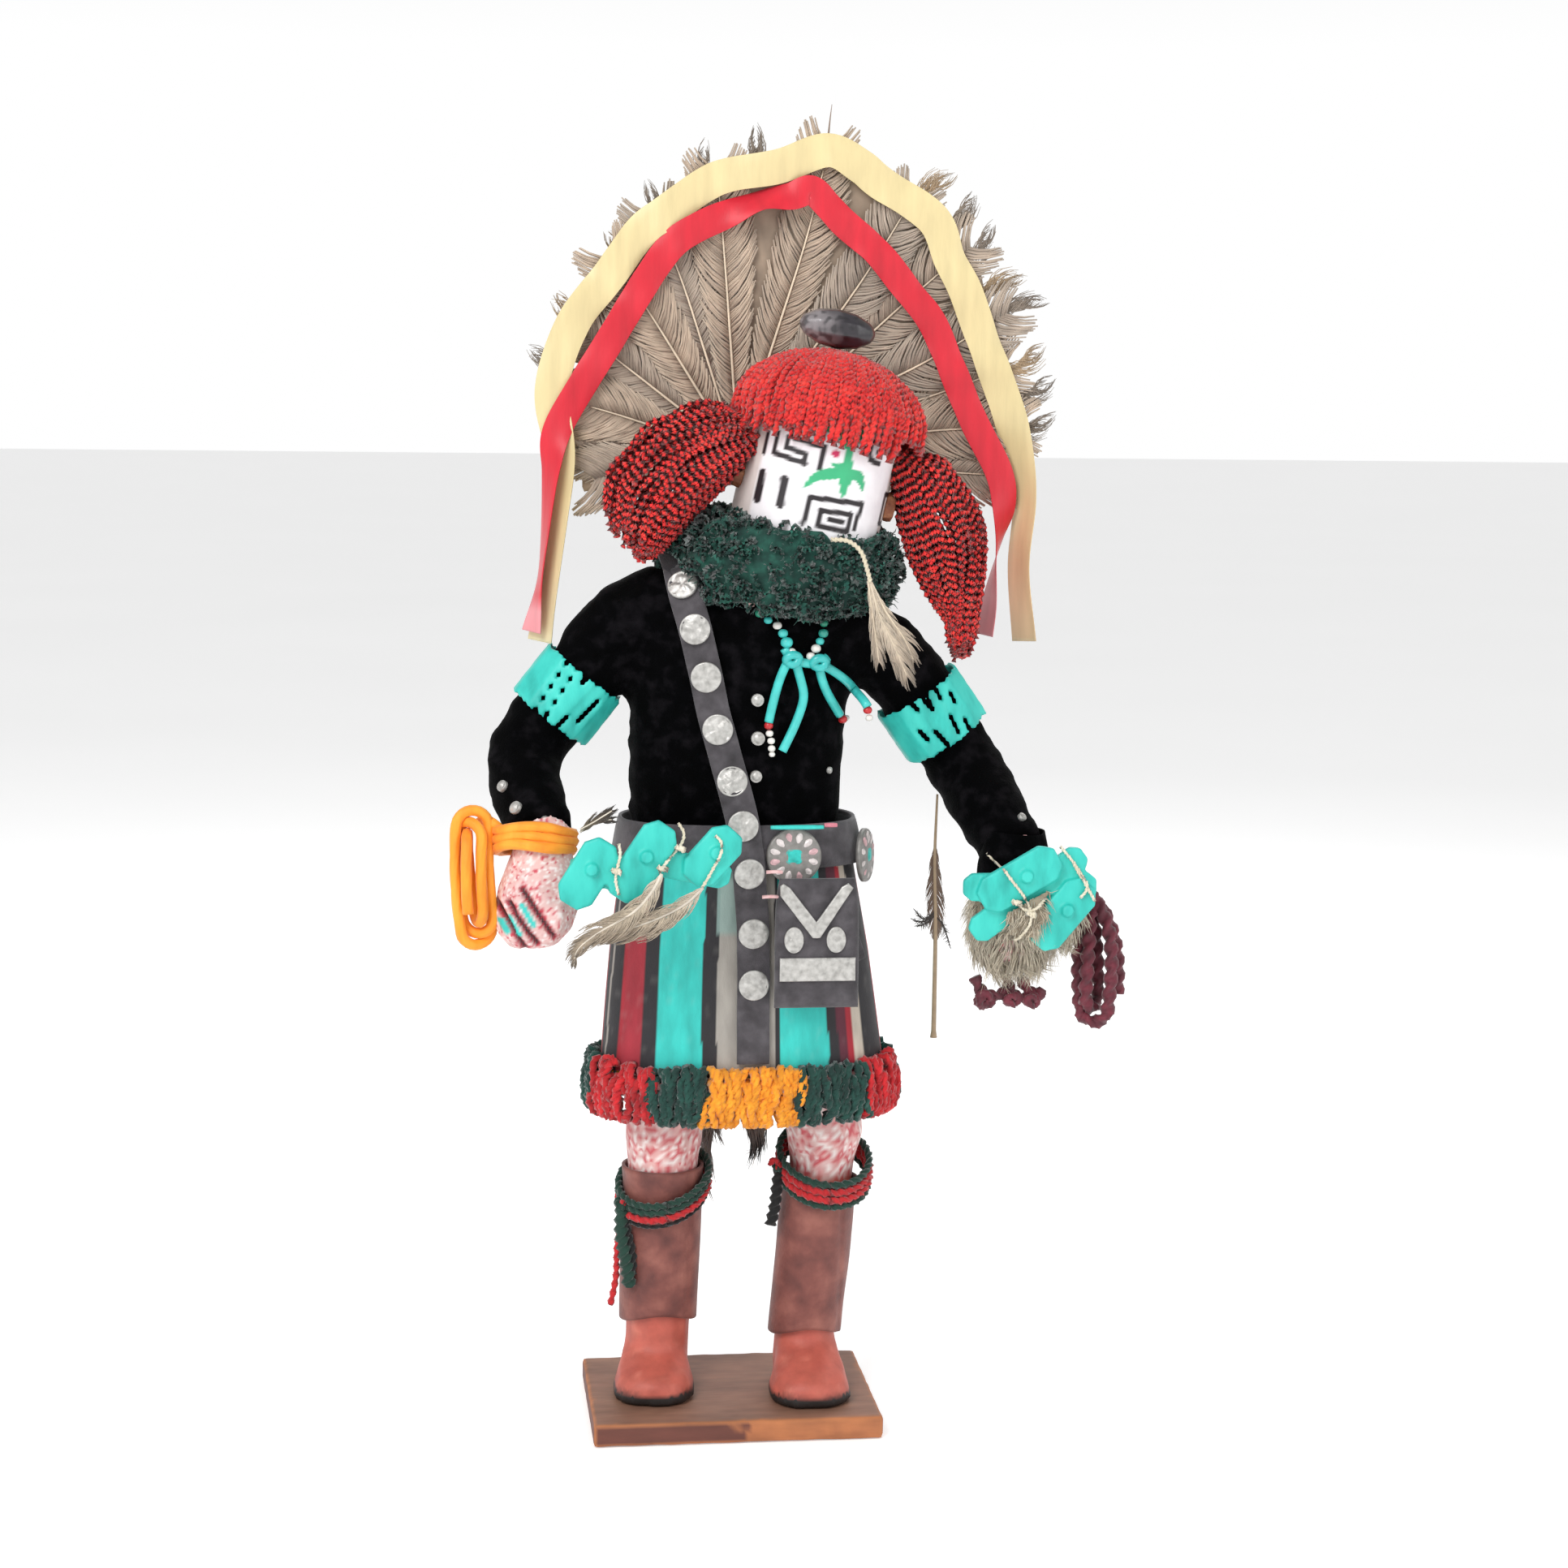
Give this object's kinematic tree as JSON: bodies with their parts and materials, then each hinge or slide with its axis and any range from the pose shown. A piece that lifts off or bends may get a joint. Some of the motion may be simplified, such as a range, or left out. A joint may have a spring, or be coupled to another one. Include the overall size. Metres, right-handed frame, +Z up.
{
  "type": "kachina doll",
  "caption": "Carved and painted wooden dancer figure on a slab base, dressed in velvet shirt, striped kilt, yarn, leather and feathers, with a feather fan behind a cylinder mask",
  "frame": {"origin": "centre of the base's underside, on the surface it stands on", "axes": "+Z up, the figure faces -Y, +X is to the viewer's right"},
  "size_m": [0.2296, 0.1022, 0.4565],
  "materials": {
    "base_wood": "worn brown stain",
    "leg_paint": "matt paint on wood",
    "brown_leather": "matt leather",
    "garter_yarn": "twisted yarn",
    "velvet": "pile",
    "kilt_cloth": "painted stiff cloth",
    "fringe_red": "yarn",
    "fringe_green": "yarn",
    "fringe_gold": "yarn",
    "charcoal_leather": "suede",
    "silver": "dull silver sheet",
    "turquoise_paint": "satin paint on wood",
    "pink_stone": "polished",
    "speckled_paint": "speckled matt paint",
    "gold_yarn": "glossy yarn",
    "maroon_cord": "twisted cord",
    "beige_fur": "fluff",
    "feather_down": "feather",
    "quill_feather": "feather",
    "beads": "glazed beads",
    "mask_paint": "painted patterns on pale wood",
    "ear_paint": "matt paint on wood",
    "red_yarn": "yarn",
    "ruff_yarn": "looped chenille",
    "fan_feathers": "feathers",
    "cream_satin": "satin",
    "red_satin": "satin",
    "seed_coat": "hard glossy coat",
    "grey_pelt": "fur"
  },
  "bodies": {
    "root": {"base": "base_wood", "leg_left": "leg_paint", "leg_right": "leg_paint", "legging_left": "brown_leather", "legging_right": "brown_leather", "garter_left": "garter_yarn", "garter_right": "garter_yarn", "shirt": "velvet", "kilt": "kilt_cloth", "fringe_1": "fringe_green", "fringe_2": "fringe_red", "fringe_3": "fringe_green", "fringe_4": "fringe_gold", "fringe_5": "fringe_green", "fringe_6": "fringe_red", "fringe_7": "fringe_green", "fringe_8": "fringe_gold", "belt": "charcoal_leather", "belt_concho": "silver", "side_concho": "silver", "belt_bar_turquoise": "turquoise_paint", "belt_bar_pink": "pink_stone", "bandolier": "charcoal_leather", "pouch": "charcoal_leather", "pouch_chevron": "silver", "pouch_bar": "silver", "pouch_disc_left": "silver", "pouch_disc_right": "silver", "hip_tie": "charcoal_leather", "armband_left": "turquoise_paint", "armband_right": "turquoise_paint", "hand_left": "speckled_paint", "hand_right": "speckled_paint", "yarn_wrap_left": "gold_yarn", "yarn_hank_left": "gold_yarn", "cord_hank_right": "maroon_cord", "cord_knots_right": "maroon_cord", "fur_cuff_right": "beige_fur", "lattice_left": "turquoise_paint", "lattice_right": "turquoise_paint", "down_feather_left": "feather_down", "tip_feather_left": "quill_feather", "elbow_feather_right": "quill_feather", "necklace": "beads", "mask": "mask_paint", "ear_left": "ear_paint", "ear_right": "ear_paint", "hair_top": "red_yarn", "hair_left": "red_yarn", "hair_right": "red_yarn", "ruff": "ruff_yarn", "neck_feather": "feather_down", "feather_fan": "fan_feathers", "ribbon_cream": "cream_satin", "ribbon_red": "red_satin", "crown_seed": "seed_coat", "fox_pelt": "grey_pelt"}
  },
  "joints": []
}
